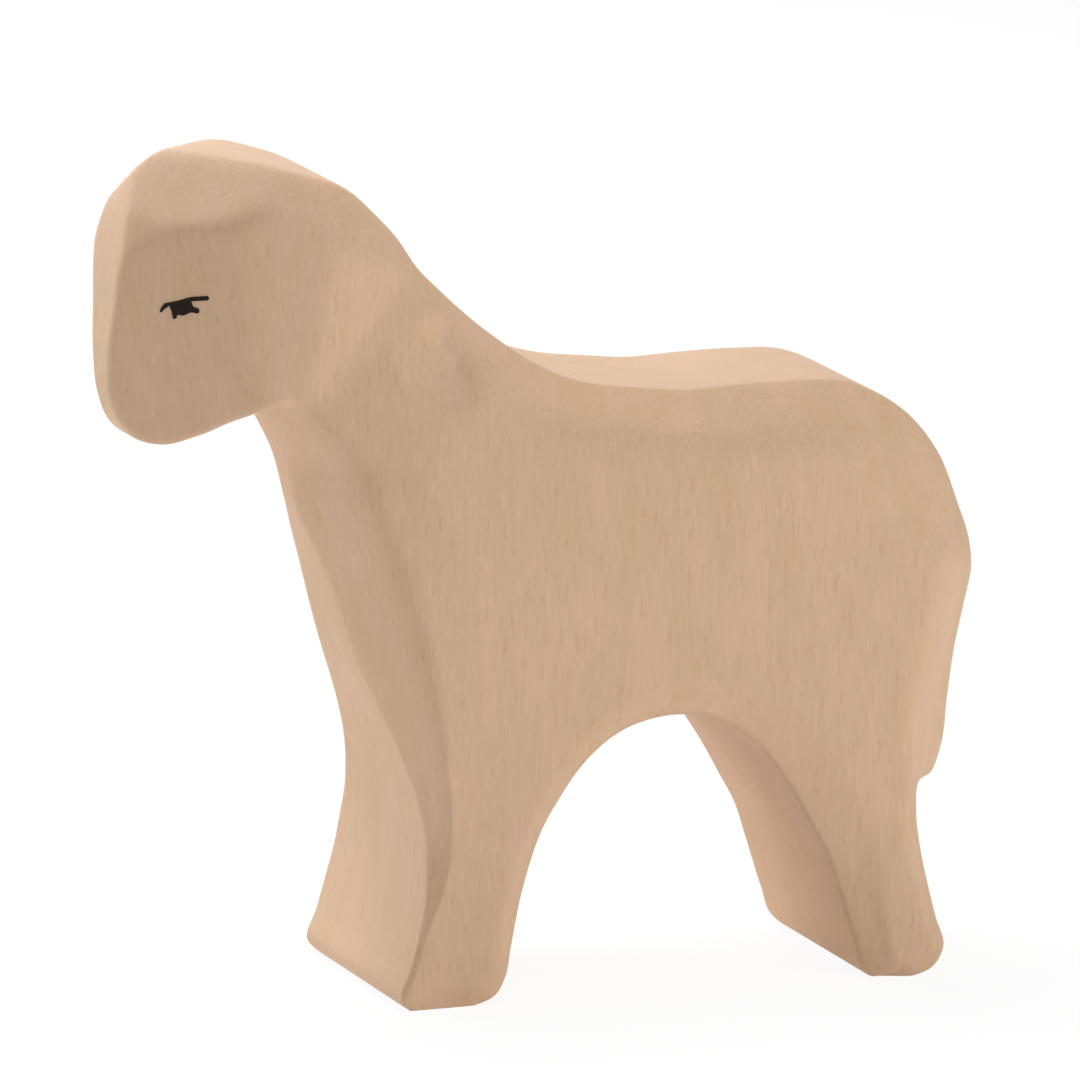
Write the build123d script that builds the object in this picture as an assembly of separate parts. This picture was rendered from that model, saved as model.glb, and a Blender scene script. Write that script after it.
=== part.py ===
from build123d import *
import os

# A sheep carved from one board of wood, in millimetres.
# +X points to the nose, +Y to the sheep's left and +Z up. It stands on Z = 0, its length centred on X = 0.

# Sizes of the whole figure
total_length = 83.2       # front of the nose to back of the rump
total_height = 80.0       # floor to the top of the crown
board_thickness = 31.0    # across the two flat sides of the board

# Head, measured back from the nose and down from the crown
head_reach = 14.8         # nose back to the throat
head_depth = 26.5         # crown down to the chin
crown_setback = 14.0      # nose back to the top of the crown

# Back and tail, measured forward from the back of the rump and up from the floor
back_height = 57.05       # floor to the hollow of the back
hollow_setback = 28.6     # rump forward to the hollow of the back
tail_tip_height = 18.6    # floor to the lower end of the tail
tail_tip_setback = 3.0    # rump forward to the back of the tail's tip
tail_tip_round = 2.7      # height of the tail tip's rounding
hock_setback = 6.7        # rump forward to the leg just under the tail

# Legs and soles, chained from the hind heel to the front toe
heel_setback = 4.3        # rump forward to the back of the hind heel
heel_rise = 2.7           # height at which a heel starts to round under
heel_round = 3.2          # length that a heel's rounding takes from its sole
hind_sole_length = 3.8
front_sole_length = 6.1
toe_ease = 0.9            # small chamfer at the front of each sole
arch_span = 35.8          # hind leg to front leg, just above the soles
arch_height = 26.7        # floor to the top of the belly arch

# Knife work along the sawn edge: how wide the bevel is where it counts as one whole share
bevel_width = 4.6

# Head facets, each a flat cut
chin_half_width = 1.65    # half width that the cheek cuts leave at the foot of the nose
cheek_turn = 53.1         # degrees that a cheek turns from the front to the side
cheek_lean = 7.3          # degrees that a cheek faces down
brow_half_width = 5.3     # half width that the brow cuts leave on the forehead
brow_turn = 49.5          # degrees that a brow cut turns from the front to the side
brow_tilt = 40.6          # degrees that a brow cut faces up
ear_inset = 3.5           # depth of the side of the head below the board's side, at the cheek
ear_setback = 10.6        # nose back to where that depth is measured
ear_turn = 78.7           # degrees that the side of the head turns from the front to the side
neck_setback = 31.6       # nose back to where the neck starts to slim
neck_drop = 29.5          # crown down to that same point
neck_rise = 39.7          # degrees above the level that the neck climbs, seen from the side
neck_reach = 16.1         # from there, along the neck, to the hollow behind the ears
hollow_inset = 3.05       # depth of that hollow below the board's side
lobe_reach = 3.6          # from the hollow, along the neck, to the crest of the ears
lobe_lift = 1.2           # height of that crest above the hollow

# Eyes, painted on the cheeks
eye_length = 5.0          # front corner to back corner of the lid stroke
eye_setback = 5.95        # from the cheek's front line, along the cheek, to the front corner
eye_height = 13.2         # chin up to the front corner
lid_rise = 1.6            # how far the lid stroke climbs to its back corner
lid_width = 0.45          # widest part of the lid stroke
paint_film = 0.2          # thickness of the dried paint

# Places that follow from the sizes
half_board = board_thickness / 2
nose_x = total_length / 2
rump_x = -total_length / 2
throat_x = nose_x - head_reach
chin_z = total_height - head_depth
hollow_x = rump_x + hollow_setback
tail_tip_x = rump_x + tail_tip_setback
hock_x = rump_x + hock_setback
hind_heel_x = rump_x + heel_setback
hind_sole_back = hind_heel_x + heel_round
hind_toe_x = hind_sole_back + hind_sole_length
arch_back = hind_toe_x + toe_ease
front_heel_x = arch_back + arch_span
front_sole_back = front_heel_x + heel_round
front_toe_x = front_sole_back + front_sole_length
chest_foot_x = front_toe_x + toe_ease

# Each landmark row has five shares: along and up its region's box, the sawn edge's half width as a share
# of the half board, and how far the bevel reaches in, forward and up, as shares of the bevel width.
chin_shares = [
    (1.00, 0.16, 0.70, -0.35, 0.30),
    (0.71, 0.11, 0.80, 0.00, 0.65),
    (0.50, 0.04, 0.80, 0.00, 0.65),
    (0.29, 0.00, 0.80, -0.10, 0.65),
    (0.17, 0.015, 0.80, -0.35, 0.55),
    (0.085, 0.06, 0.80, -0.55, 0.40),
    (0.02, 0.16, 0.80, -0.65, 0.20),
]
forehead_shares = [
    (0.00, 0.31, 0.80, -0.65, 0.00),
    (0.02, 0.48, 0.80, -0.65, 0.00),
    (0.075, 0.655, 0.80, -0.70, -0.20),
    (0.15, 0.835, 0.78, -0.60, -0.55),
    (0.42, 0.97, 0.70, -0.40, -1.00),
    (0.70, 0.995, 0.61, -0.20, -1.30),
]
nape_shares = [
    (0.00, 0.00, 0.57, 0.00, -1.40),
    (0.08, 0.02, 0.59, 0.25, -1.30),
    (0.18, 0.10, 0.63, 0.60, -0.95),
    (0.25, 0.21, 0.64, 0.65, -0.65),
    (0.30, 0.31, 0.64, 0.60, -0.50),
    (0.35, 0.44, 0.64, 0.55, -0.42),
]
withers_shares = [
    (0.40, 0.53, 0.64, 0.57, -0.55),
    (0.47, 0.65, 0.64, 0.57, -0.68),
    (0.545, 0.755, 0.64, 0.55, -0.85),
    (0.615, 0.84, 0.64, 0.50, -0.95),
    (0.69, 0.91, 0.64, 0.40, -1.00),
    (0.78, 0.96, 0.64, 0.20, -0.98),
    (0.90, 0.985, 0.64, 0.08, -0.95),
]
rump_shares = [
    (0.00, 0.00, 0.64, 0.00, -0.95),
    (0.175, -0.005, 0.64, 0.00, -1.05),
    (0.385, -0.007, 0.64, 0.00, -1.15),
    (0.55, 0.00, 0.64, 0.17, -1.25),
    (0.67, 0.038, 0.63, 0.55, -1.25),
    (0.775, 0.092, 0.63, 0.90, -1.10),
    (0.88, 0.19, 0.63, 1.15, -0.80),
    (0.95, 0.32, 0.63, 1.00, -0.40),
    (0.993, 0.42, 0.63, 0.87, -0.10),
]
tail_shares = [
    (1.00, 0.48, 0.63, 0.88, 0.08),
    (0.975, 0.57, 0.63, 0.90, 0.10),
    (0.94, 0.685, 0.63, 0.95, 0.08),
    (0.915, 0.81, 0.63, 1.03, 0.04),
]
tail_end_shares = [
    (0.00, 1.00, 0.63, 1.00, 0.05),
    (0.25, 0.12, 0.63, 0.78, 0.32),
    (1.00, 0.00, 0.89, 0.24, 0.06),
]
hock_shares = [
    (-0.17, 0.16, 0.94, 0.24, 0.00),
    (-0.04, 0.34, 0.94, 0.24, 0.00),
    (0.25, 0.56, 0.94, 0.24, 0.03),
    (0.65, 0.81, 0.94, 0.24, 0.04),
]
heel_shares = [
    (0.00, 1.00, 0.94, 0.24, 0.05),
    (0.30, 0.33, 0.94, 0.20, 0.18),
    (1.00, 0.00, 0.94, 0.05, 0.22),
]
toe_shares = [
    (0.00, 0.00, 0.94, -0.20, 0.20),
    (1.00, 1.00, 0.96, -0.22, 0.05),
]
hind_arch_shares = [
    (0.025, 0.13, 0.94, -0.36, 0.02),
    (0.073, 0.335, 0.94, -0.44, 0.06),
    (0.10, 0.45, 0.94, -0.46, 0.08),
    (0.145, 0.56, 0.94, -0.48, 0.08),
    (0.19, 0.67, 0.94, -0.50, 0.10),
    (0.226, 0.75, 0.94, -0.52, 0.18),
    (0.27, 0.83, 0.94, -0.50, 0.28),
    (0.34, 0.915, 0.94, -0.40, 0.36),
    (0.43, 0.98, 0.94, -0.14, 0.40),
]
front_arch_shares = [
    (0.53, 1.00, 0.94, 0.00, 0.32),
    (0.60, 0.99, 0.94, 0.04, 0.28),
    (0.67, 0.96, 0.94, 0.08, 0.25),
    (0.74, 0.90, 0.94, 0.12, 0.22),
    (0.80, 0.82, 0.94, 0.18, 0.18),
    (0.85, 0.725, 0.94, 0.21, 0.13),
    (0.895, 0.63, 0.94, 0.22, 0.10),
    (0.95, 0.425, 0.94, 0.24, 0.06),
    (0.985, 0.20, 0.94, 0.24, 0.05),
]
shin_shares = [
    (-0.15, 0.11, 0.97, -0.20, 0.02),
    (-0.215, 0.17, 0.92, -0.37, 0.02),
    (-0.255, 0.22, 0.89, -0.52, 0.00),
]
chest_shares = [
    (-0.27, 0.27, 0.81, -0.57, 0.02),
    (-0.235, 0.32, 0.71, -0.61, 0.04),
    (-0.165, 0.37, 0.61, -0.63, 0.07),
    (-0.06, 0.435, 0.52, -0.63, 0.10),
    (0.04, 0.48, 0.47, -0.70, 0.12),
    (0.16, 0.535, 0.425, -0.80, 0.12),
    (0.295, 0.61, 0.375, -0.93, 0.10),
    (0.41, 0.68, 0.315, -0.98, 0.08),
    (0.54, 0.745, 0.22, -1.02, 0.07),
    (0.675, 0.815, 0.125, -1.04, 0.06),
    (0.785, 0.895, 0.26, -0.91, 0.06),
    (0.865, 0.94, 0.485, -0.65, 0.10),
]


def landmarks(start, end, shares):
    """Rows of shares turned into (x, z, half width, inset x, inset z), in the box from start to end."""
    rows = []
    for along_share, up_share, wall_share, forward_share, rise_share in shares:
        x = start[0] + (end[0] - start[0]) * along_share
        z = start[1] + (end[1] - start[1]) * up_share
        rows.append((x, z, half_board * wall_share, bevel_width * forward_share, bevel_width * rise_share))
    return rows


def edge_point(mark, side):
    """A landmark on the rim of the sawn edge."""
    x, z, half_width, inset_x, inset_z = mark
    return Vector(x, side * half_width, z)


def face_point(mark, side):
    """The same landmark where its bevel reaches the flat side of the board."""
    x, z, half_width, inset_x, inset_z = mark
    return Vector(x + inset_x, side * half_board, z + inset_z)


def run_edges(groups, place, side):
    """Splines through groups of landmarks, each going on smoothly to the first landmark of the next group."""
    edges = []
    leaving = place(groups[0][1], side) - place(groups[0][0], side)
    for number, group in enumerate(groups):
        points = [place(mark, side) for mark in group]
        arriving = points[-1] - points[-2]
        if group is not groups[-1]:
            next_points = [place(mark, side) for mark in groups[number + 1][:2]]
            arriving = next_points[1] - points[-1]
            points.append(next_points[0])
        runs = leaving.normalized(), arriving.normalized()
        spline = Edge.make_spline(points, runs, scale=False) if len(points) > 2 else Edge.make_line(*points)
        edges.append(spline)
        leaving = arriving
    return edges


# The outline of the board, walked from the throat over the back and the legs to the chest
crown = (nose_x - crown_setback, total_height)
hollow = (hollow_x, back_height)
face_box = (nose_x, chin_z), (throat_x, total_height)
rump_box = hollow, (rump_x, tail_tip_height)
tail_end_box = (tail_tip_x, tail_tip_height), (hock_x, tail_tip_height + tail_tip_round)
arch_box = (arch_back, 0), (front_heel_x, arch_height)
chin_marks = landmarks(*face_box, chin_shares)
chest_box = (chest_foot_x, toe_ease), chin_marks[0][:2]
forehead_marks = landmarks(*face_box, forehead_shares)
nape_marks = landmarks(crown, hollow, nape_shares)
withers_marks = landmarks(crown, hollow, withers_shares)
rump_marks = landmarks(*rump_box, rump_shares)
tail_marks = landmarks(*rump_box, tail_shares)
tail_end_marks = landmarks(*tail_end_box, tail_end_shares)
hock_marks = landmarks((hock_x, tail_tip_height), (hind_heel_x, heel_rise), hock_shares)
hind_heel_marks = landmarks((hind_heel_x, 0), (hind_sole_back, heel_rise), heel_shares)
hind_toe_marks = landmarks((hind_toe_x, 0), (arch_back, toe_ease), toe_shares)
hind_arch_marks = landmarks(*arch_box, hind_arch_shares)
front_arch_marks = landmarks(*arch_box, front_arch_shares)
front_heel_marks = landmarks((front_heel_x, 0), (front_sole_back, heel_rise), heel_shares)
front_toe_marks = landmarks((front_toe_x, 0), (chest_foot_x, toe_ease), toe_shares)
shin_marks = landmarks(*chest_box, shin_shares)
chest_marks = landmarks(*chest_box, chest_shares)
outline_runs = [
    [chin_marks, forehead_marks, nape_marks, withers_marks, rump_marks, tail_marks + tail_end_marks[:1]],
    [tail_end_marks],
    [tail_end_marks[-1:] + hock_marks + hind_heel_marks[:1]],
    [hind_heel_marks],
    [[hind_heel_marks[-1], hind_toe_marks[0]]],
    [hind_toe_marks],
    [hind_toe_marks[-1:] + hind_arch_marks, front_arch_marks + front_heel_marks[:1]],
    [front_heel_marks],
    [[front_heel_marks[-1], front_toe_marks[0]]],
    [front_toe_marks],
    [front_toe_marks[-1:] + shin_marks, chest_marks + chin_marks[:1]],
]


def outline_wire(place, side):
    """The closed wire of all the runs."""
    return Wire([edge for groups in outline_runs for edge in run_edges(groups, place, side)])


# The board with its bevelled edges: a ruled skin over both flat sides and the sawn edge between them
left, right = 1, -1
rims = [
    outline_wire(face_point, left),
    outline_wire(edge_point, left),
    outline_wire(edge_point, right),
    outline_wire(face_point, right),
]
carved_body = Solid.make_loft(rims, ruled=True)


def facet_plane(point, turn, tilt, side):
    """A flat cut through a point, facing turn degrees round from the front to a side and tilt degrees up."""
    facing = Vector(1, 0, 0).rotate(Axis.Y, -tilt).rotate(Axis.Z, side * turn)
    return Plane(origin=point, x_dir=Vector(0, 0, 1).cross(facing), z_dir=facing)


def facet_cutter(plane, foot):
    """All the wood outside a flat cut, from foot below the cut's own point upwards."""
    reach = total_length + total_height
    block = Box(reach, reach, reach, align=(Align.CENTER, Align.MIN, Align.MIN))
    return plane * Pos(0, -foot, 0) * block


def flank_plane(point, lift, reach, side):
    """A flat cut through a point of one side, which lifts outward over a reach up along the neck."""
    headward = Vector(1, 0, 0).rotate(Axis.Y, -neck_rise)
    across = Vector(0, 0, 1).rotate(Axis.Y, -neck_rise)
    slope = headward * reach + Vector(0, side * lift, 0)
    return Plane(origin=point, x_dir=slope, z_dir=across.cross(slope) * side)


def cheek_plane(side):
    """The flat cheek, which leaves the narrow strip of the nose."""
    point = Vector(nose_x, side * chin_half_width, chin_z)
    return facet_plane(point, cheek_turn, -cheek_lean, side)


def head_cutters(side):
    """The knife cuts of one side of the head: cheek, brow, ear, and the neck that slims towards it."""
    cheek = facet_cutter(cheek_plane(side), head_depth)
    forehead_x, forehead_z = forehead_marks[-3][:2]
    brow_point = Vector(forehead_x, side * brow_half_width, forehead_z)
    brow = facet_cutter(facet_plane(brow_point, brow_turn, brow_tilt, side), total_height)
    ear_point = Vector(nose_x - ear_setback, side * (half_board - ear_inset), total_height)
    ear = facet_cutter(facet_plane(ear_point, ear_turn, 0, side), head_depth)
    neck_point = Vector(nose_x - neck_setback, side * half_board, total_height - neck_drop)
    neck_plane = flank_plane(neck_point, -hollow_inset, neck_reach, side)
    hollow_point = neck_point + neck_plane.x_dir * (neck_reach ** 2 + hollow_inset ** 2) ** 0.5
    lobe_plane = flank_plane(hollow_point, lobe_lift, lobe_reach, side)
    neck = facet_cutter(neck_plane, total_height)
    lobe = facet_cutter(lobe_plane, total_height)
    return [cheek, brow, ear, neck & lobe]


for side in (left, right):
    for cutter in head_cutters(side):
        carved_body = carved_body - cutter


def eye_plane(side):
    """The cheek, with its x running back from the front corner of the eye and its z out of the wood."""
    cheek = cheek_plane(side)
    back = cheek.x_dir * side
    corner = cheek.origin + back * eye_setback + cheek.y_dir * eye_height
    return Plane(origin=corner, x_dir=back, z_dir=cheek.z_dir)


# Brush strokes of an eye, in shares of its length along the cheek and of the lid's rise above its front.
# The lid's rows run along its middle and add its width as a share; the pupil's rows go round its rim.
lid_shares = [
    (0.00, 0.00, 0.40),
    (0.10, 0.36, 0.85),
    (0.32, 0.72, 1.00),
    (0.60, 0.88, 0.95),
    (0.98, 1.00, 0.80),
]
pupil_shares = [
    (0.21, 0.62),
    (0.21, 0.22),
    (0.24, -0.05),
    (0.265, -0.34),
    (0.31, -0.36),
    (0.35, -0.18),
    (0.45, -0.16),
    (0.56, -0.02),
    (0.66, 0.03),
    (0.76, 0.00),
    (0.75, 0.24),
    (0.655, 0.42),
    (0.64, 0.86),
    (0.42, 0.80),
]


def painted(side, points):
    """A film of paint on one cheek, inside a closed curve through points along and up the cheek."""
    cheek = eye_plane(side)
    rim = Edge.make_spline([cheek.from_local_coords(Vector(x, side * y)) for x, y in points], periodic=True)
    return Solid.extrude(Face(Wire([rim])), cheek.z_dir * paint_film)


def eyelid_stroke(side):
    """The long stroke of the lowered lid, drawn from the front corner up to the back corner."""
    upper = []
    lower = []
    for along_share, climb_share, width_share in lid_shares:
        half_width = lid_width * width_share / 2
        upper.append((eye_length * along_share, lid_rise * climb_share + half_width))
        lower.append((eye_length * along_share, lid_rise * climb_share - half_width))
    return painted(side, upper + lower[::-1])


def pupil_dab(side):
    """The dab of the pupil with its two short runs, which stops where the lid's stroke begins."""
    points = [(eye_length * along_share, lid_rise * up_share) for along_share, up_share in pupil_shares]
    return painted(side, points) - eyelid_stroke(side)


nodes = {
    "carved_body": carved_body,
    "left_eyelid_stroke": eyelid_stroke(left),
    "left_pupil_dab": pupil_dab(left),
    "right_eyelid_stroke": eyelid_stroke(right),
    "right_pupil_dab": pupil_dab(right),
}
os.makedirs("parts", exist_ok=True)
for name, shape in nodes.items():
    export_step(shape, f"parts/{name}.step")
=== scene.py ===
import bpy
import numpy as np
from mathutils import Matrix


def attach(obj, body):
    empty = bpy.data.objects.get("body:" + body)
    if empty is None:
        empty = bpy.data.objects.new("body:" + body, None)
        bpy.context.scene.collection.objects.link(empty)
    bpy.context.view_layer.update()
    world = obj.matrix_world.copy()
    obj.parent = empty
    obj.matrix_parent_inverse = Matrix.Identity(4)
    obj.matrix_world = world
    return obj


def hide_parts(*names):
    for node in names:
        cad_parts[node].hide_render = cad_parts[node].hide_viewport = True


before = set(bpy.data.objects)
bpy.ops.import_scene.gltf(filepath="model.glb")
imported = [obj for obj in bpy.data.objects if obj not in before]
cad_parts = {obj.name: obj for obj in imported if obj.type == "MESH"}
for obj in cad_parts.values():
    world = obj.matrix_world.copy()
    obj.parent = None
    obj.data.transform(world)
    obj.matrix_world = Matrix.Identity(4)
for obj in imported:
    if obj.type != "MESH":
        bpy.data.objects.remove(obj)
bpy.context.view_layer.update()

# The carved body
# One board of pale alder, sawn to the outline of a sheep and bevelled along both rims with a knife. Cheeks,
# brows and the sides of the head are flat cuts. It is then sanded by hand until no edge is sharp and rubbed with
# a little oil, which leaves it matt.

# The sawn edge in millimetres, walked from the front toe over the head, back and hind leg to the front heel. Each
# row is a place along and up, the half width of the edge there, and how far its bevel reaches in, along and up.
shin = [
    (16.9, 0.9, 15.3, -0.3, 0.1), (16.0, 4.2, 15.3, -0.3, 0.1), (15.1, 7.4, 15.2, -0.4, 0.1),
    (14.4, 10.6, 14.7, -1.0, 0.1), (14.1, 13.4, 14.0, -1.4, 0.0), (13.9, 16.2, 13.0, -1.5, 0.1),
    (14.2, 19.1, 11.6, -1.7, 0.2), (14.8, 21.9, 10.2, -2.0, 0.3), (16.0, 25.6, 8.5, -2.7, 0.5),
    (17.0, 28.2, 7.5, -3.2, 0.6), (18.2, 31.3, 6.6, -3.7, 0.6),
]
throat = [
    (19.6, 35.6, 5.8, -4.3, 0.5), (20.8, 39.6, 4.9, -4.5, 0.4), (22.1, 43.2, 3.4, -4.7, 0.3),
    (23.4, 47.2, 1.9, -4.8, 0.3), (24.3, 51.8, 3.6, -4.2, 0.3), (25.0, 54.3, 6.5, -3.2, 0.5),
    (26.8, 57.7, 10.8, -1.6, 1.4), (31.1, 56.4, 12.4, 0.0, 3.0),
]
face = [
    (34.2, 54.6, 12.4, 0.0, 3.0), (37.3, 53.5, 12.4, -0.5, 3.0), (39.1, 53.9, 12.4, -1.6, 2.5),
    (40.4, 55.1, 12.4, -2.5, 1.8), (41.5, 57.7, 12.4, -3.0, 0.9), (41.8, 61.7, 12.4, -3.0, 0.0),
    (41.5, 66.2, 12.4, -3.0, 0.0), (41.1, 71.0, 12.4, -3.2, -0.9), (40.0, 75.8, 12.1, -2.8, -2.5),
]
nape = [
    (36.7, 80.5, 10.8, -1.8, -4.6), (32.2, 80.7, 9.5, -0.9, -6.0), (27.8, 80.2, 10.3, 0.0, -6.4),
    (24.4, 79.3, 10.6, 1.1, -6.0), (20.3, 77.7, 10.2, 2.8, -4.4), (17.5, 75.2, 9.9, 3.0, -3.0),
    (15.4, 72.9, 9.9, 2.8, -2.3), (13.4, 69.9, 9.9, 2.5, -1.9), (11.4, 67.8, 9.9, 2.6, -2.5),
    (8.5, 65.1, 9.9, 2.6, -3.1),
]
back = [
    (5.5, 62.7, 9.9, 2.5, -3.9), (2.6, 60.7, 9.9, 2.3, -4.4), (-0.4, 59.1, 9.9, 1.8, -4.6),
    (-4.1, 58.0, 9.9, 0.9, -4.5), (-8.9, 57.4, 9.9, 0.4, -4.4), (-13.0, 57.0, 9.9, 0.0, -4.4),
    (-18.0, 57.2, 9.9, 0.0, -4.8),
]
rump = [
    (-24.0, 57.3, 9.9, 0.0, -5.3), (-28.7, 57.0, 9.9, 0.8, -5.8), (-32.2, 55.6, 9.8, 2.5, -5.8),
    (-35.2, 53.5, 9.8, 4.1, -5.1), (-38.2, 49.7, 9.8, 5.3, -3.7), (-40.2, 44.7, 9.8, 4.6, -1.8),
]
tail = [
    (-41.4, 40.9, 9.8, 4.0, -0.5), (-41.6, 38.6, 9.8, 4.0, 0.4), (-40.9, 35.1, 9.8, 4.1, 0.5),
    (-39.9, 30.7, 9.8, 4.4, 0.4), (-39.2, 25.9, 9.8, 4.7, 0.2), (-38.6, 21.3, 9.8, 4.6, 0.2),
]
hock = [
    (-37.7, 18.9, 9.8, 3.6, 1.5), (-34.9, 18.6, 13.8, 1.1, 0.3), (-34.5, 16.1, 14.6, 1.1, 0.0),
    (-34.8, 13.2, 14.6, 1.1, 0.0), (-35.5, 9.7, 14.6, 1.1, 0.1), (-36.5, 5.7, 14.6, 1.1, 0.2),
]
hind_sole = [
    (-37.3, 2.7, 14.6, 1.1, 0.2), (-36.3, 0.9, 14.6, 0.9, 0.8), (-34.1, 0.0, 14.4, 0.2, 1.0),
    (-30.4, 0.0, 13.3, -1.8, 0.9),
]
hind_arch = [
    (-29.4, 0.9, 13.9, -2.0, 0.4), (-28.5, 3.5, 14.3, -2.2, 0.2), (-26.8, 8.9, 14.4, -2.5, 0.3),
    (-25.8, 12.0, 14.5, -2.7, 0.4), (-24.2, 15.0, 14.5, -2.8, 0.4),
]
groin = [
    (-22.6, 17.9, 14.5, -2.8, 0.6), (-21.3, 20.0, 14.5, -2.7, 1.0), (-19.7, 22.2, 14.5, -2.5, 1.6),
]
belly = [
    (-17.2, 24.4, 14.5, -1.9, 1.9), (-14.0, 26.2, 14.6, -0.6, 1.8), (-10.4, 26.7, 14.6, 0.0, 1.5),
    (-7.9, 26.4, 14.6, 0.2, 1.3), (-5.4, 25.6, 14.6, 0.4, 1.1), (-2.9, 24.0, 14.6, 0.6, 1.0),
]
front_arch = [
    (-0.8, 21.9, 14.6, 0.8, 0.8), (1.0, 19.4, 14.6, 1.0, 0.6), (2.6, 16.8, 14.6, 1.0, 0.5),
    (4.6, 11.3, 14.6, 1.1, 0.3), (5.9, 5.3, 14.6, 1.1, 0.2),
]
front_sole = [
    (6.4, 2.7, 14.6, 1.1, 0.2), (7.4, 0.9, 14.6, 0.9, 0.8), (9.6, 0.0, 14.6, 0.2, 1.0),
    (16.0, 0.0, 15.2, -0.3, 0.7),
]

# Middle lines of the flat sides, which the walk looks in at. Each limb's line is passed once on either side of it,
# and the walk stands still at a line's end while it goes round the head, the rump or a sole.
front_leg_line = np.array([(11.0, 6.0), (9.0, 40.0)])
neck_line = np.array([(9.0, 40.0), (19.0, 60.0), (33.0, 65.0)])
trunk_line = np.array([(9.0, 40.0), (-25.0, 40.0)])
thigh_line = np.array([(-25.0, 40.0), (-31.0, 20.0)])
hind_leg_line = np.array([(-31.0, 20.0), (-33.4, 6.0)])

# The walk's stretches, each with its number of sections, its middle line and the shares of that line it passes.
walk = [
    (shin, 60, front_leg_line, (0, 1)),
    (throat, 70, neck_line, (0, 1)),
    (face, 96, neck_line, (1, 1)),
    (nape, 70, neck_line, (1, 0)),
    (back, 60, trunk_line, (0, 1)),
    (rump, 60, trunk_line, (1, 1)),
    (tail, 46, thigh_line, (0, 1)),
    (hock, 40, hind_leg_line, (0, 1)),
    (hind_sole, 26, hind_leg_line, (1, 1)),
    (hind_arch, 40, hind_leg_line, (1, 0)),
    (groin, 46, thigh_line, (1, 0)),
    (belly, 60, trunk_line, (1, 0)),
    (front_arch, 60, front_leg_line, (1, 0)),
    (front_sole, 30, front_leg_line, (0, 0)),
]

half_board = 15.5            # from the middle of the board to its flat sides

# The neck grows slimmer along a line that leans toward the head, and the side of the head falls back to it.
toward_head = (0.77, 0.64)
neck_start = 40.0            # along that line, where the neck leaves the flat side
neck_taper = -0.19           # half width per millimetre along it
lobe_start = 56.1            # where the narrow cut behind the head begins
lobe_half = 12.4
lobe_taper = 0.33
lobe_blend = 0.3

# Flat cuts on the head: a place on each, along, half width and up, and how its half width rises along and up.
cheek_cut = ((41.6, 1.65, 53.5), (-0.751, 0.160))
brow_cut = ((33.2, 11.9, 75.0), (-1.0, -1.4))
temple_cut = ((39.5, 5.7, 74.0), (-1.36, -0.67))
head_side_cut = ((30.9, 11.9, 67.2), (-0.27, 0.09))
chin_height = 51.0           # below it the cuts of cheek and head side run out
chin_run_out = 0.8           # half width per millimetre down
cut_blend = 0.25             # rounding where two cuts meet
crown_height = 77.0          # above it they meet more softly
crown_blend = 0.25           # further rounding per millimetre up

# The nick at the nape: the top of its back edge, the way ahead across it, and the shares of its depth at distances
# ahead of that edge and down along it.
nick_place = (10.1, 65.6)
nick_ahead = (0.914, -0.406)
nick_depth = 1.3
nick_across = ((0.0, 2.4, 8.0), (0.0, 1.0, 0.0))
nick_down = ((-1.5, 0.5, 4.0, 8.0), (0.0, 1.0, 1.0, 0.0))

# Two long strokes that leave the bevel of the back fuller: their middle and reach along.
back_strokes = [(-6.5, 10.0), (-22.5, 9.0)]
stroke_rise = 1.3
back_height = 46.5           # only rims above it have them

# How far the bell curve of the sanding reaches, in steps of a section: everywhere, and then in zones that fade in
# along and up from a start over a length. The shin is kept crisp, chest, head and crown are rounder.
sanding_steps = 2.8
sanding_zones = [
    (1.5, (9.0, 3.0), (14.0, -6.0)),
    (6.0, (11.0, 4.0), (21.0, 10.0)),
    (6.5, (24.0, 6.0), (50.0, 6.0)),
    (12.0, (28.0, 6.0), (75.5, 3.0)),
]

bevel_blend = 0.25           # rounding between a bevel and the flat side
bevel_blend_rise = 0.2       # further rounding per millimetre of the bevel's length
middle_blend = 0.5           # the same rounding at the middle line
bevel_release = 12           # power by which a bevel lets go of the wood toward the middle line

bevel_steps = 12             # points of a section on each bevel, each flat side and the edge
side_steps = 30
edge_steps = 28
side_crowding = 1.3          # power by which the points of a side crowd toward its bevel
section_steps = 420          # even steps of a section while it is sanded


def closed_curve(rows, at):
    """Places on a closed curve through rows, at chord lengths from the first. Between two rows it is a cubic whose
    slope at each row is that of the parabola through the row and its two neighbours."""
    following = np.roll(rows, -1, axis=0)
    step = np.linalg.norm((following - rows)[:, :2], axis=1)[:, None]
    chord = (following - rows) / step
    last_step = np.roll(step, 1, axis=0)
    slope = (chord * last_step + np.roll(chord, 1, axis=0) * step) / (step + last_step)
    start = np.concatenate([[0.0], np.cumsum(step)])
    piece = np.clip(np.searchsorted(start, at, side="right") - 1, 0, len(rows) - 1)
    t = ((at - start[piece]) / step[piece, 0])[:, None]
    other = (piece + 1) % len(rows)
    return ((1 + 2 * t) * (1 - t) ** 2 * rows[piece] + t * (1 - t) ** 2 * step[piece] * slope[piece]
            + t ** 2 * (3 - 2 * t) * rows[other] + t ** 2 * (t - 1) * step[piece] * slope[other])


def along_line(line, share):
    """Places at the given shares of a bent line's length."""
    lengths = np.concatenate([[0.0], np.cumsum(np.linalg.norm(np.diff(line, axis=0), axis=1))])
    return np.stack([np.interp(share * lengths[-1], lengths, line[:, axis]) for axis in (0, 1)], axis=-1)


def soft_least(heights, blend):
    """The least of several heights, rounded where two are close: minus the blend times the logarithm of the sum of
    exp(-height / blend)."""
    lowest = np.min(heights, axis=0)
    return lowest - blend * np.log(np.sum(np.exp((lowest - np.array(heights)) / blend), axis=0))


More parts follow.
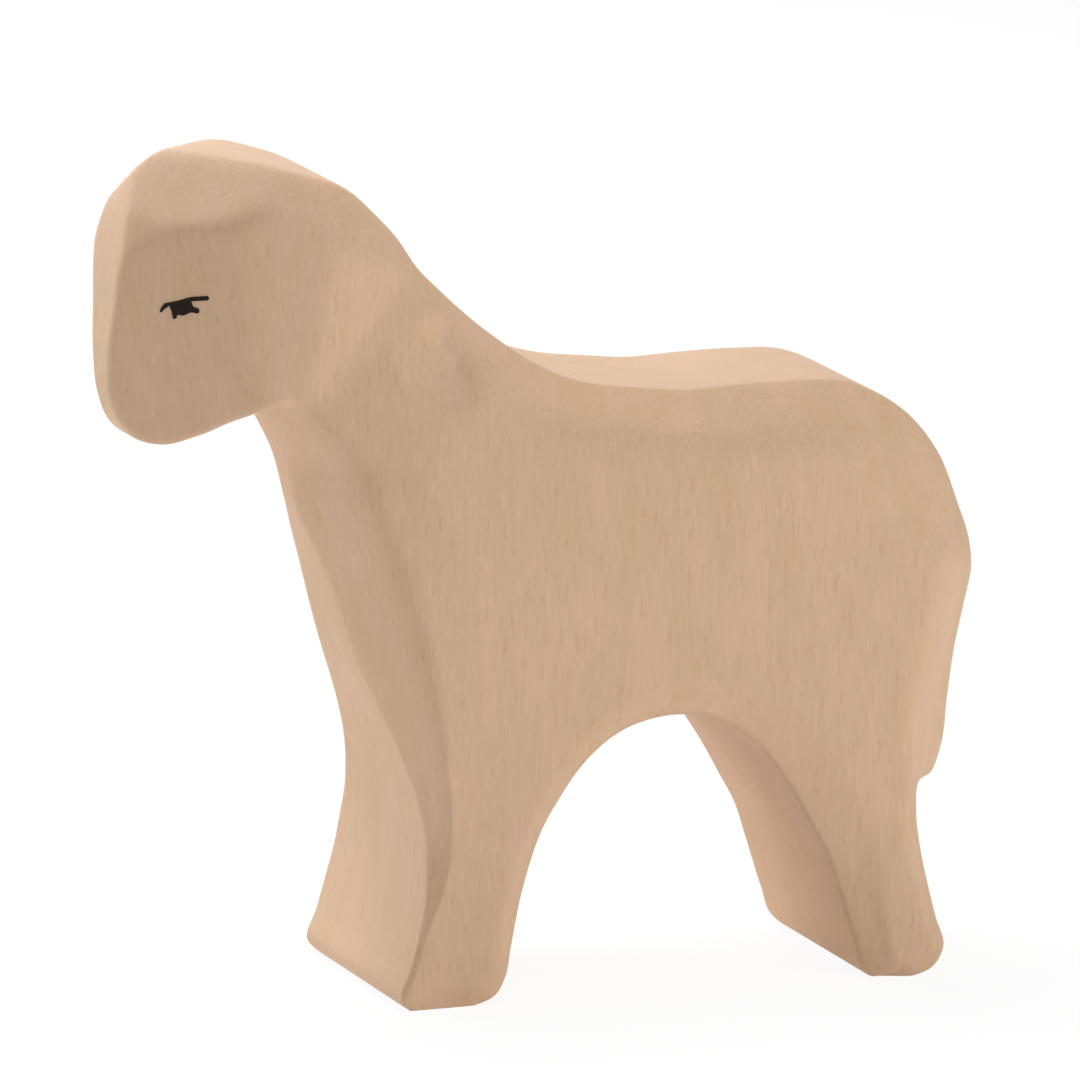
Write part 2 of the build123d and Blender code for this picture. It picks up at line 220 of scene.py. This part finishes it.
def knife_cut(x, z, place, rise):
    """Half width that a flat cut leaves: its half width at one place plus its rise per millimetre along and up."""
    return place[1] + rise[0] * (x - place[0]) + rise[1] * (z - place[2])


def half_width(x, z, bevel, blend):
    """Half width of the wood at a place along and up: the softened least of the flat side, the bevel and the cuts
    of neck, cheek, brow, temple and head side. Behind the head's side a narrow cut falls back to the slimmer neck,
    so the larger of that cut and the neck counts. A short nick crosses the bevel of the nape."""
    up_neck = toward_head[0] * x + toward_head[1] * z
    neck = half_board + neck_taper * (up_neck - neck_start)
    lobe_back = lobe_half + lobe_taper * (up_neck - lobe_start)
    behind_head = -soft_least([-neck, -lobe_back], lobe_blend)
    flank = soft_least([np.full_like(x, half_board), bevel, behind_head], blend)
    run_out = chin_run_out * np.maximum(chin_height - z, 0.0)
    cheek = knife_cut(x, z, *cheek_cut) + run_out
    brow = knife_cut(x, z, *brow_cut)
    temple = knife_cut(x, z, *temple_cut)
    head_side = knife_cut(x, z, *head_side_cut) + run_out
    head_blend = cut_blend + crown_blend * np.maximum(z - crown_height, 0.0)
    ahead = nick_ahead[0] * (x - nick_place[0]) + nick_ahead[1] * (z - nick_place[1])
    below = nick_ahead[1] * (x - nick_place[0]) - nick_ahead[0] * (z - nick_place[1])
    nick = nick_depth * np.interp(ahead, *nick_across) * np.interp(below, *nick_down)
    return soft_least([flank, cheek, brow, temple, head_side], head_blend) - nick


def sanded(points, spread_steps):
    """Sections with their corners rounded off: each is spread evenly along its length, every point is averaged
    with those around it under a bell curve so many steps wide, and the section is read back at its first spacing.
    Near an end the bell curve is at most a third as wide as the end is far, so the ends stay in place."""
    reach = np.linalg.norm(np.diff(points, axis=1), axis=-1).cumsum(axis=1)
    share = np.concatenate([np.zeros((len(points), 1)), reach / reach[:, -1:]], axis=1)
    row = 2.0 * np.arange(len(points))[:, None]
    even = np.linspace(0.0, 1.0, section_steps)
    flat_even, flat_share = (row + even).ravel(), (row + share).ravel()
    spread = np.stack([np.interp(flat_even, flat_share, points[..., axis].ravel()) for axis in range(3)], axis=-1)
    spread = spread.reshape(len(points), -1, 3)
    step = np.arange(section_steps)
    bell_width = np.minimum(spread_steps, 0.01 + np.minimum(step, step[::-1]) / 3)[:, None]
    bell = np.exp(-((step[:, None] - step) / bell_width) ** 2 / 2)
    spread = bell / bell.sum(axis=1, keepdims=True) @ spread
    rounded = [np.interp(flat_share, flat_even, spread[..., axis].ravel()) for axis in range(3)]
    return np.stack(rounded, axis=-1).reshape(points.shape)


def body_points():
    """The skin of the body. The first parameter walks round the sawn edge. The second goes from the middle line of
    the right side out over the flat, down the bevel, across the edge and back to the middle line of the left side.
    Up a bevel the half width rises evenly from that of the edge to that of the board, and past its shoulder it
    rises ever faster, so that it no longer counts there. Last, every section is sanded."""
    rows = np.array([row for stretch, *_ in walk for row in stretch])
    gaps = np.linalg.norm((np.roll(rows, -1, axis=0) - rows)[:, :2], axis=1)
    starts = np.cumsum([0] + [len(stretch) for stretch, *_ in walk])
    reach = np.concatenate([[0.0], np.cumsum(gaps)])[starts]
    shares = [np.arange(count) / count for _, count, *_ in walk]
    at = np.concatenate([low + (high - low) * share for low, high, share in zip(reach, reach[1:], shares)])
    edge = closed_curve(rows, at)
    middle = np.concatenate([along_line(line, begin + (end - begin) * share)
                             for (_, _, line, (begin, end)), share in zip(walk, shares)])[:, None]
    rim, edge_half, inset = edge[:, None, :2], edge[:, None, 2], edge[:, None, 3:]
    rim = np.stack([rim[..., 0], np.maximum(rim[..., 1], 0.0)], axis=-1)
    shoulder = rim + inset
    bevel_share = np.linspace(0.0, 1.0, bevel_steps, endpoint=False)[None, :, None]
    side_share = (np.linspace(0.0, 1.0, side_steps + 1) ** side_crowding)[None, :, None]
    place = np.concatenate([rim + inset * bevel_share, shoulder + (middle - shoulder) * side_share], axis=1)
    x, z = place[..., 0], place[..., 1]

    bevel_length = np.linalg.norm(inset, axis=-1)
    side_length = np.linalg.norm(middle - shoulder, axis=-1)
    distance = np.concatenate([bevel_length * bevel_share[..., 0],
                               bevel_length + side_length * side_share[..., 0]], axis=1)
    climb = distance / bevel_length
    bevel = edge_half + (half_board - edge_half) * (climb + np.maximum(climb - 1, 0.0) ** 2)
    for stroke_middle, stroke_reach in back_strokes:
        swell = np.maximum(0.0, 1 - ((rim[..., 0] - stroke_middle) / stroke_reach) ** 2)
        swell = swell * (rim[..., 1] > back_height)
        bevel = bevel + stroke_rise * swell * np.minimum(climb, 1.0)
    inward = distance / distance[:, -1:]
    bevel = bevel + half_board * inward ** bevel_release
    blend = bevel_blend + bevel_blend_rise * bevel_length
    blend = blend + (middle_blend - blend) * inward ** 2
    width = half_width(x, z, bevel, blend)

    right = np.stack([x, -width, z], axis=-1)[:, ::-1]
    left = np.stack([x, width, z], axis=-1)
    across = -np.cos(np.pi * np.linspace(0.0, 1.0, edge_steps + 1)[1:-1])[None, :, None]
    wall = left[:, :1] * (1, 0, 1) + left[:, :1] * (0, 1, 0) * across
    points = np.concatenate([right, wall, left], axis=1)
    ahead, above = points[..., :1], points[..., 2:]
    smooth = sanded(points, sanding_steps)
    for spread_steps, (start_ahead, fade_ahead), (start_above, fade_above) in sanding_zones:
        here = np.clip((ahead - start_ahead) / fade_ahead, 0.0, 1.0)
        here = here * np.clip((above - start_above) / fade_above, 0.0, 1.0)
        smooth = smooth * (1 - here) + sanded(points, spread_steps) * here
    return smooth


def closed_mesh(name, points):
    """A mesh of a grid of millimetre points that closes round its first parameter and folds shut at both ends of
    its second. Points that fall on one place become one vertex, and a square with two such corners a triangle."""
    spots, index = np.unique(np.round(points.reshape(-1, 3), 4), axis=0, return_inverse=True)
    index = index.reshape(points.shape[:2])
    onward = np.roll(index, -1, axis=0)
    squares = np.stack([index[:, :-1], index[:, 1:], onward[:, 1:], onward[:, :-1]], axis=-1).reshape(-1, 4)
    repeated = squares == np.roll(squares, -1, axis=1)
    whole = squares[repeated.sum(axis=1) == 0]
    pinched = repeated.sum(axis=1) == 1
    corners = squares[pinched][~repeated[pinched]].reshape(-1, 3)
    mesh = bpy.data.meshes.new(name)
    mesh.from_pydata((spots / 1000).tolist(), [], whole.tolist() + corners.tolist())
    mesh.polygons.foreach_set("use_smooth", np.ones(len(mesh.polygons), dtype=bool))
    mesh.update()
    piece = bpy.data.objects.new(name, mesh)
    bpy.context.scene.collection.objects.link(piece)
    return piece


def linear(hex_colour):
    """An sRGB hex colour as linear red, green, blue and alpha."""
    srgb = np.array([int(hex_colour[i:i + 2], 16) for i in (1, 3, 5)]) / 255
    return (*np.where(srgb <= 0.04045, srgb / 12.92, ((srgb + 0.055) / 1.055) ** 2.4), 1.0)


def add_node(owner, kind, settings=(), **links):
    """One node in a material or world. Settings named after an input set that input, others are properties of the
    node, and links join another node's output to the input they name."""
    node = owner.node_tree.nodes.new(kind)
    for key, value in dict(settings).items():
        if key in node.inputs:
            node.inputs[key].default_value = value
        else:
            setattr(node, key, value)
    for key, output in links.items():
        owner.node_tree.links.new(output, node.inputs[key.replace("_", " ")])
    return node


# Alder is pale tan with hardly any rings to see, and matt when it is sanded and only thinly oiled. What shows are
# fine straight fibres that run up the board, lighter and darker flecks among them, and broad bands that are a
# little pinker. Flecks are about 0.4 mm wide and 2 mm long, bands about 4 mm wide.
flecks_per_metre = (2600.0, 2600.0, 420.0)
bands_per_metre = (260.0, 260.0, 75.0)
fleck_tones = [(0.28, "#bd9a76"), (0.43, "#c9a888"), (0.57, "#c9a888"), (0.72, "#d5b293")]
band_tones = [(0.35, "#c6a685"), (0.65, "#cfac94")]
fibre_depth = 0.00005        # metres
sanded_alder = bpy.data.materials.new("sanded_alder")
sanded_alder.use_nodes = True
wood_links = sanded_alder.node_tree.links
wood_shader = sanded_alder.node_tree.nodes["Principled BSDF"]
wood_shader.inputs["Roughness"].default_value = 0.68
wood_shader.inputs["Specular IOR Level"].default_value = 0.3
grain_place = add_node(sanded_alder, "ShaderNodeTexCoord").outputs["Object"]
fibre_place = add_node(sanded_alder, "ShaderNodeMapping", {"Scale": flecks_per_metre}, Vector=grain_place)
fibre = add_node(sanded_alder, "ShaderNodeTexNoise", {"Scale": 1.0, "Detail": 2.0, "Roughness": 0.5},
                 Vector=fibre_place.outputs["Vector"])
band_place = add_node(sanded_alder, "ShaderNodeMapping", {"Scale": bands_per_metre}, Vector=grain_place)
band = add_node(sanded_alder, "ShaderNodeTexNoise", {"Scale": 1.0, "Detail": 2.0, "Roughness": 0.5},
                Vector=band_place.outputs["Vector"])
fibre_tone = add_node(sanded_alder, "ShaderNodeValToRGB", Fac=fibre.outputs["Fac"])
for stop, tone in fleck_tones:
    fibre_tone.color_ramp.elements.new(stop).color = linear(tone)
fibre_tone.color_ramp.elements.remove(fibre_tone.color_ramp.elements[0])
fibre_tone.color_ramp.elements.remove(fibre_tone.color_ramp.elements[-1])
band_tone = add_node(sanded_alder, "ShaderNodeValToRGB", Fac=band.outputs["Fac"])
for element, (stop, tone) in zip(band_tone.color_ramp.elements, band_tones):
    element.position, element.color = stop, linear(tone)
wood_tone = add_node(sanded_alder, "ShaderNodeMix", {"data_type": "RGBA", "Factor": 0.5})
wood_links.new(fibre_tone.outputs["Color"], wood_tone.inputs["A"])
wood_links.new(band_tone.outputs["Color"], wood_tone.inputs["B"])
wood_links.new(wood_tone.outputs["Result"], wood_shader.inputs["Base Color"])
fibre_relief = add_node(sanded_alder, "ShaderNodeBump", {"Strength": 0.25, "Distance": fibre_depth},
                        Height=fibre.outputs["Fac"])
wood_links.new(fibre_relief.outputs["Normal"], wood_shader.inputs["Normal"])
body = closed_mesh("sheep_body", body_points())
body.data.materials.append(sanded_alder)
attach(body, "root")
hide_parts("carved_body")

# The painted eyes
# A lowered lid in one brush stroke and a pupil dabbed under it, on both cheeks. It is dark brown acrylic put on
# with a fine brush, matt, a tenth of a millimetre thick, and follows the wood.
eye_corner = np.array((37.85, 6.56, 66.59))
along_cheek = np.array((-0.7997, 0.6004, 0.0))
up_cheek = np.array((0.0763, 0.1016, 0.9919))
out_of_cheek = np.array((0.5956, 0.7932, -0.1271))
paint_lift = 0.12            # out of the wood
paint_sink = 0.2             # into it
thin_stroke = 0.2            # strokes narrower than this are flatter
round_count = 24
along_count = 61

# Lower and upper rims of the strokes in millimetres, from the front corner of the eye: back along the cheek and
# up.
lid_low = [(0.0, 0.02), (0.15, -0.09), (0.36, 0.16), (0.97, 0.63), (1.94, 0.83), (3.27, 1.2), (4.85, 1.37),
           (5.0, 1.56)]
lid_high = [(0.0, 0.02), (0.1, 0.32), (0.49, 0.84), (1.96, 1.2), (3.13, 1.6), (4.85, 1.8), (5.0, 1.56)]
pupil_low = [(1.0, 0.6), (1.18, 0.1), (1.28, -0.65), (1.6, -0.6), (1.72, -0.24), (2.35, -0.27), (3.11, 0.1),
             (3.85, 0.03), (3.95, 0.28)]
pupil_high = [(1.0, 0.6), (1.2, 0.85), (2.0, 1.0), (3.15, 1.3), (3.35, 0.66), (3.85, 0.52), (3.95, 0.28)]


def stroke_points(low, high, side):
    """A brush stroke between two rims. The first parameter goes round its section, from the lower rim over the
    domed top to the upper rim and back under the wood. The second runs from the front of the stroke to its back."""
    low, high = np.array(low), np.array(high)
    turn = np.linspace(0.0, 2 * np.pi, round_count, endpoint=False)[:, None]
    back_share = (1 - np.cos(np.linspace(0.0, np.pi, along_count)))[None, :] / 2
    back = low[0, 0] + (low[-1, 0] - low[0, 0]) * back_share
    bottom, top = np.interp(back, low[:, 0], low[:, 1]), np.interp(back, high[:, 0], high[:, 1])
    rise = bottom + (top - bottom) * (1 - np.cos(turn)) / 2
    dome = np.sin(turn) * np.minimum((top - bottom) / thin_stroke, 1.0)
    lift = np.where(dome > 0, paint_lift, -paint_sink) * np.abs(dome) ** 0.5
    places = back[..., None] * along_cheek + rise[..., None] * up_cheek + lift[..., None] * out_of_cheek
    return (eye_corner + places) * (1, side, 1)


# Dark brown acrylic dries matt, with faint streaks of the brush a little under half a millimetre apart.
eye_paint = bpy.data.materials.new("eye_paint")
eye_paint.use_nodes = True
streaks_per_metre = 2500.0
paint_shader = eye_paint.node_tree.nodes["Principled BSDF"]
paint_shader.inputs["Roughness"].default_value = 0.6
paint_shader.inputs["Specular IOR Level"].default_value = 0.12
brush_place = add_node(eye_paint, "ShaderNodeTexCoord").outputs["Object"]
brush_streak = add_node(eye_paint, "ShaderNodeTexNoise", {"Scale": streaks_per_metre, "Detail": 2.0},
                        Vector=brush_place)
paint_tone = add_node(eye_paint, "ShaderNodeValToRGB", Fac=brush_streak.outputs["Fac"])
paint_tone.color_ramp.elements[0].color = linear("#150f0b")
paint_tone.color_ramp.elements[1].color = linear("#281d15")
eye_paint.node_tree.links.new(paint_tone.outputs["Color"], paint_shader.inputs["Base Color"])
for side, name in ((1, "left"), (-1, "right")):
    for low, high, stroke in ((lid_low, lid_high, "eyelid_stroke"), (pupil_low, pupil_high, "pupil_dab")):
        paint = closed_mesh(f"{name}_{stroke}_paint", stroke_points(low, high, side)[::side])
        paint.data.materials.append(eye_paint)
        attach(paint, "root")
        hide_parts(f"{name}_{stroke}")

# The studio
# A white paper floor lit from below runs out of view under six soft square lamps: one high over the far front, one
# high on the near side, and four low ones round the sheep. The camera looks at the near side from a little above.
white = (1.0, 1.0, 1.0, 1.0)
floor_half = 4.0             # metres, as are all sizes here
floor_mesh = bpy.data.meshes.new("floor")
floor_corners = [(-floor_half, -floor_half, 0), (floor_half, -floor_half, 0),
                 (floor_half, floor_half, 0), (-floor_half, floor_half, 0)]
floor_mesh.from_pydata(floor_corners, [], [(0, 1, 2, 3)])
floor = bpy.data.objects.new("floor", floor_mesh)
bpy.context.scene.collection.objects.link(floor)


def plain_sight(owner):
    """One for rays that come from the camera, a glossy surface or a clear one, and zero for rays that carry
    light."""
    ray = add_node(owner, "ShaderNodeLightPath")
    seen = ray.outputs["Is Camera Ray"]
    for kind in ("Is Glossy Ray", "Is Transmission Ray"):
        either = add_node(owner, "ShaderNodeMath", {"operation": "MAXIMUM"})
        owner.node_tree.links.new(seen, either.inputs[0])
        owner.node_tree.links.new(ray.outputs[kind], either.inputs[1])
        seen = either.outputs["Value"]
    return seen


# White paper is matt. The glow from below takes most of the shade out of it where it is seen and leaves a faint
# shadow at the feet.
white_paper = bpy.data.materials.new("white_paper")
white_paper.use_nodes = True
floor_mesh.materials.append(white_paper)
paper_links = white_paper.node_tree.links
paper = white_paper.node_tree.nodes["Principled BSDF"]
paper.inputs["Base Color"].default_value = linear("#f0f0f0")
paper.inputs["Specular IOR Level"].default_value = 0.0
paper.inputs["Emission Color"].default_value = white
paper.inputs["Emission Strength"].default_value = 0.25
lit_paper = add_node(white_paper, "ShaderNodeEmission", {"Color": white, "Strength": 1.0})
glow = add_node(white_paper, "ShaderNodeMath", {"operation": "MULTIPLY"})
glow.inputs[1].default_value = 0.88
paper_links.new(plain_sight(white_paper), glow.inputs[0])
mixed = add_node(white_paper, "ShaderNodeMixShader", Fac=glow.outputs["Value"])
paper_links.new(paper.outputs["BSDF"], mixed.inputs[1])
paper_links.new(lit_paper.outputs["Emission"], mixed.inputs[2])
paper_links.new(mixed.outputs["Shader"], white_paper.node_tree.nodes["Material Output"].inputs["Surface"])

# Lamps by their turn and lift in degrees and their watts. All look at the middle of the sheep.
lamps = [
    ("high_far_front", 300, 65, 2.75), ("high_near", 75, 60, 0.9), ("low_far", 270, 10, 1.9),
    ("low_front", 326, 13, 1.2), ("low_near", 120, 10, 0.95), ("low_near_rear", 150, 5, 1.3),
]
lamp_size = 0.35
lamp_distance = 0.6
sheep_middle = np.array((0, 0, 0.04))


def placed(scene_object, side, up, toward, spot):
    """Puts an object at a spot with its own X, Y and Z along three unit vectors, and into the scene."""
    turned = Matrix([list(row) for row in np.stack([side, up, toward], axis=1)]).to_4x4()
    scene_object.matrix_world = Matrix.Translation(spot) @ turned
    bpy.context.scene.collection.objects.link(scene_object)


for name, turn, lift, watts in lamps:
    lamp = bpy.data.lights.new(name, "AREA")
    lamp.energy = watts
    lamp.size = lamp_size
    turn, lift = np.radians(turn), np.radians(lift)
    toward = np.array((np.cos(lift) * np.cos(turn), np.cos(lift) * np.sin(turn), np.sin(lift)))
    side = np.cross((0, 0, 1), toward)
    side /= np.linalg.norm(side)
    placed(bpy.data.objects.new(name, lamp), side, np.cross(toward, side), toward,
           toward * lamp_distance + sheep_middle)

world = bpy.data.worlds.new("surround")
bpy.context.scene.world = world
world.use_nodes = True
faint = world.node_tree.nodes["Background"]
faint.inputs["Color"].default_value = white
faint.inputs["Strength"].default_value = 0.05
bright = add_node(world, "ShaderNodeBackground", {"Color": white, "Strength": 1.0})
around = add_node(world, "ShaderNodeMixShader", Fac=plain_sight(world))
world.node_tree.links.new(faint.outputs["Background"], around.inputs[1])
world.node_tree.links.new(bright.outputs["Background"], around.inputs[2])
world.node_tree.links.new(around.outputs["Shader"], world.node_tree.nodes["World Output"].inputs["Surface"])

# The camera's place, fitted to the outline in the photograph: degrees from the side toward the front and up, how
# far the picture's middle lies from the sheep's to the right and up, and the focal length in pixels.
azimuth, elevation = np.radians(17.92), np.radians(10.39)
aim_right, aim_up = 0.00153, 0.00158
camera_distance = 1.6
focal_pixels, photo_pixels = 16878.5, 1080
sensor_width = 36.0          # millimetres
toward = np.array((np.cos(elevation) * np.sin(azimuth), np.cos(elevation) * np.cos(azimuth), np.sin(elevation)))
side = np.array((-np.cos(azimuth), np.sin(azimuth), 0.0))
up = np.cross(toward, side)
camera = bpy.data.objects.new("camera", bpy.data.cameras.new("camera"))
camera.data.sensor_width = sensor_width
camera.data.lens = focal_pixels / photo_pixels * sensor_width
placed(camera, side, up, toward, sheep_middle + aim_right * side + aim_up * up + camera_distance * toward)
bpy.context.scene.camera = camera

bpy.context.scene.view_settings.view_transform = "Standard"
